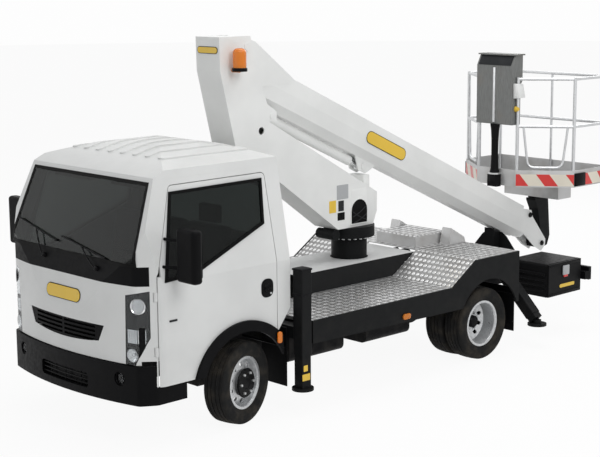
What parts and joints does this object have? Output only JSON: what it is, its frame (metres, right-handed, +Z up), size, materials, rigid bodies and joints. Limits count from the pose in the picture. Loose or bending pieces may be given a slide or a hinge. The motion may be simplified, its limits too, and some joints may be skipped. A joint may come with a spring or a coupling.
{
  "type": "truck-mounted cherry picker",
  "caption": "Light forward-control truck carrying a slewing turret, a telescopic boom raised by a cylinder, a levelled work basket, stabiliser legs and a tread-plate bed.",
  "frame": {"origin": "on the ground, under the middle of the machine's length and width", "axes": "+X forward to the cab's nose, +Y to the machine's left, +Z up"},
  "size_m": [6.26, 2.469, 3.0199],
  "materials": {
    "white_paint": "smooth glossy white coach paint",
    "boom_paint": "white machine enamel",
    "black_trim": "grained black plastic",
    "bed_paint": "satin anthracite paint",
    "frame_paint": "black chassis enamel",
    "tread_plate": "raised-bar tread plate",
    "galvanised": "worn bare metal",
    "wheel_silver": "silver wheel lacquer",
    "tyre_rubber": "ribbed black rubber",
    "hose_rubber": "black hose rubber",
    "clear_glass": "clear window glass",
    "lamp_glass": "clear lamp lens",
    "red_lens": "red lens on black housings",
    "amber_lens": "amber lens",
    "seat_cloth": "dark woven cloth",
    "dash_plastic": "dark grained plastic",
    "rod_chrome": "polished hard chrome",
    "cast_black": "rough dark castings",
    "console_grey": "worn grey paint",
    "box_plastic": "moulded black plastic"
  },
  "bodies": {
    "chassis": {"cab_shell": "white_paint", "cab_roof": "white_paint", "front_panel": "white_paint", "cowl": "black_trim", "headlamps": "lamp_glass", "grille": "black_trim", "cab_glass": "clear_glass", "dashboard": "dash_plastic", "seats": "seat_cloth", "front_bumper": "black_trim", "wheel_arches": "black_trim", "chassis_frame": "frame_paint", "engine_block": "cast_black", "under_tanks": "frame_paint", "front_axle": "cast_black", "rear_axle": "cast_black", "side_panels": "bed_paint", "deck_plates": "tread_plate", "deck_tunnel": "bed_paint", "deck_boxes": "galvanised", "subframe": "bed_paint", "pedestal": "bed_paint", "boom_cradle": "bed_paint", "toolbox": "box_plastic", "rear_lamps": "black_trim"},
    "steering_left": {"knuckle_left": "cast_black"},
    "steering_right": {"knuckle_right": "cast_black"},
    "front_wheel_left": {"tyre_front_left": "tyre_rubber", "rim_front_left": "wheel_silver"},
    "front_wheel_right": {"tyre_front_right": "tyre_rubber", "rim_front_right": "wheel_silver"},
    "rear_wheel_left": {"tyre_rear_left": "tyre_rubber", "rim_rear_left": "wheel_silver"},
    "rear_wheel_right": {"tyre_rear_right": "tyre_rubber", "rim_rear_right": "wheel_silver"},
    "cab_door_left": {"door_left": "white_paint", "door_glass_left": "clear_glass", "mirror_left": "black_trim"},
    "cab_door_right": {"door_right": "white_paint", "door_glass_right": "clear_glass", "mirror_right": "black_trim"},
    "slew_turret": {"turret": "boom_paint", "slew_ring": "bed_paint", "beacon": "amber_lens"},
    "boom": {"boom_outer": "boom_paint"},
    "stage_1": {"boom_stage_1": "boom_paint"},
    "stage_2": {"boom_stage_2": "boom_paint"},
    "cylinder_barrel": {"lift_barrel": "boom_paint"},
    "cylinder_rod": {"lift_rod": "rod_chrome"},
    "link": {"basket_link": "bed_paint"},
    "basket": {"basket_floor": "tread_plate", "basket_rails": "galvanised", "console": "console_grey", "console_hose": "hose_rubber"},
    "front_leg_left": {"jack_front_left": "bed_paint"},
    "front_leg_right": {"jack_front_right": "bed_paint"},
    "rear_leg_left": {"jack_rear_left": "bed_paint"},
    "rear_leg_right": {"jack_rear_right": "bed_paint"},
    "box_door": {"toolbox_door": "box_plastic"}
  },
  "joints": [
    {"name": "steer_left", "type": "hinge", "parent": "chassis", "child": "steering_left", "pos_m": [2.065, 0.64, 0.336], "axis": [0, 0, 1], "range_deg": [-50, 20]},
    {"name": "steer_right", "type": "hinge", "parent": "chassis", "child": "steering_right", "pos_m": [2.065, -0.64, 0.336], "axis": [0, 0, 1], "range_deg": [-50, 20]},
    {"name": "spin_front_left", "type": "hinge", "parent": "steering_left", "child": "front_wheel_left", "pos_m": [2.02488, 0.78972, 0.336], "axis": [-0.2588, 0.9659, 0], "continuous": true},
    {"name": "spin_front_right", "type": "hinge", "parent": "steering_right", "child": "front_wheel_right", "pos_m": [2.10512, -0.78972, 0.336], "axis": [-0.2588, 0.9659, 0], "continuous": true},
    {"name": "spin_rear_left", "type": "hinge", "parent": "chassis", "child": "rear_wheel_left", "pos_m": [-0.835, 0.757, 0.336], "axis": [0, 1, 0], "continuous": true},
    {"name": "spin_rear_right", "type": "hinge", "parent": "chassis", "child": "rear_wheel_right", "pos_m": [-0.835, -0.757, 0.336], "axis": [0, 1, 0], "continuous": true},
    {"name": "door_open_left", "type": "hinge", "parent": "chassis", "child": "cab_door_left", "pos_m": [2.895, 0.89, 1], "axis": [0, 0, -1], "range_deg": [0, 65]},
    {"name": "door_open_right", "type": "hinge", "parent": "chassis", "child": "cab_door_right", "pos_m": [2.895, -0.89, 1], "axis": [0, 0, 1], "range_deg": [0, 65]},
    {"name": "slew", "type": "hinge", "parent": "chassis", "child": "slew_turret", "pos_m": [-0.055, 0, 1.2], "axis": [0, 0, 1], "range_deg": [-120, 120]},
    {"name": "boom_lift", "type": "hinge", "parent": "slew_turret", "child": "boom", "pos_m": [1.295, 0, 2.93], "axis": [0, 1, 0], "range_deg": [0, 96.58]},
    {"name": "cylinder_tilt", "type": "hinge", "parent": "slew_turret", "child": "cylinder_barrel", "pos_m": [1.03518, 0, 2.33482], "axis": [0, 1, 0], "range_deg": [0, 97.5]},
    {"name": "cylinder_stroke", "type": "slide", "parent": "cylinder_barrel", "child": "cylinder_rod", "axis": [-0.9089, 0, -0.417], "range_m": [0, 0.975]},
    {"name": "stage_1_extend", "type": "slide", "parent": "boom", "child": "stage_1", "axis": [-0.9092, 0, -0.4163], "range_m": [0, 2.6]},
    {"name": "stage_2_extend", "type": "slide", "parent": "stage_1", "child": "stage_2", "axis": [-0.9092, 0, -0.4163], "range_m": [0, 2.6]},
    {"name": "basket_level", "type": "hinge", "parent": "stage_2", "child": "link", "pos_m": [-2.85521, 0, 0.70434], "axis": [0, 1, 0], "range_deg": [-97, 0]},
    {"name": "basket_swivel", "type": "hinge", "parent": "link", "child": "basket", "pos_m": [-2.885, 0, 1.2], "axis": [0, 0, 1], "range_deg": [-60, 60]},
    {"name": "front_leg_left_drop", "type": "slide", "parent": "chassis", "child": "front_leg_left", "axis": [0, 0, -1], "range_m": [0, 0.35]},
    {"name": "front_leg_right_drop", "type": "slide", "parent": "chassis", "child": "front_leg_right", "axis": [0, 0, -1], "range_m": [0, 0.35]},
    {"name": "rear_leg_left_drop", "type": "slide", "parent": "chassis", "child": "rear_leg_left", "axis": [0, 0.7071, -0.7071], "range_m": [0, 0.35]},
    {"name": "rear_leg_right_drop", "type": "slide", "parent": "chassis", "child": "rear_leg_right", "axis": [0, -0.7071, -0.7071], "range_m": [0, 0.35]},
    {"name": "box_door_open", "type": "hinge", "parent": "chassis", "child": "box_door", "pos_m": [-2.1, 0.937, 0.421], "axis": [-1, 0, 0], "range_deg": [0, 90]}
  ],
  "couplings": [
    {"joint": "steer_right", "follows": "steer_left", "ratio": 1},
    {"joint": "cylinder_tilt", "follows": "boom_lift", "ratio": 1},
    {"joint": "cylinder_stroke", "follows": "boom_lift", "m_per_rad": 0.57521},
    {"joint": "basket_level", "follows": "boom_lift", "ratio": -1},
    {"joint": "stage_2_extend", "follows": "stage_1_extend", "ratio": 1}
  ]
}
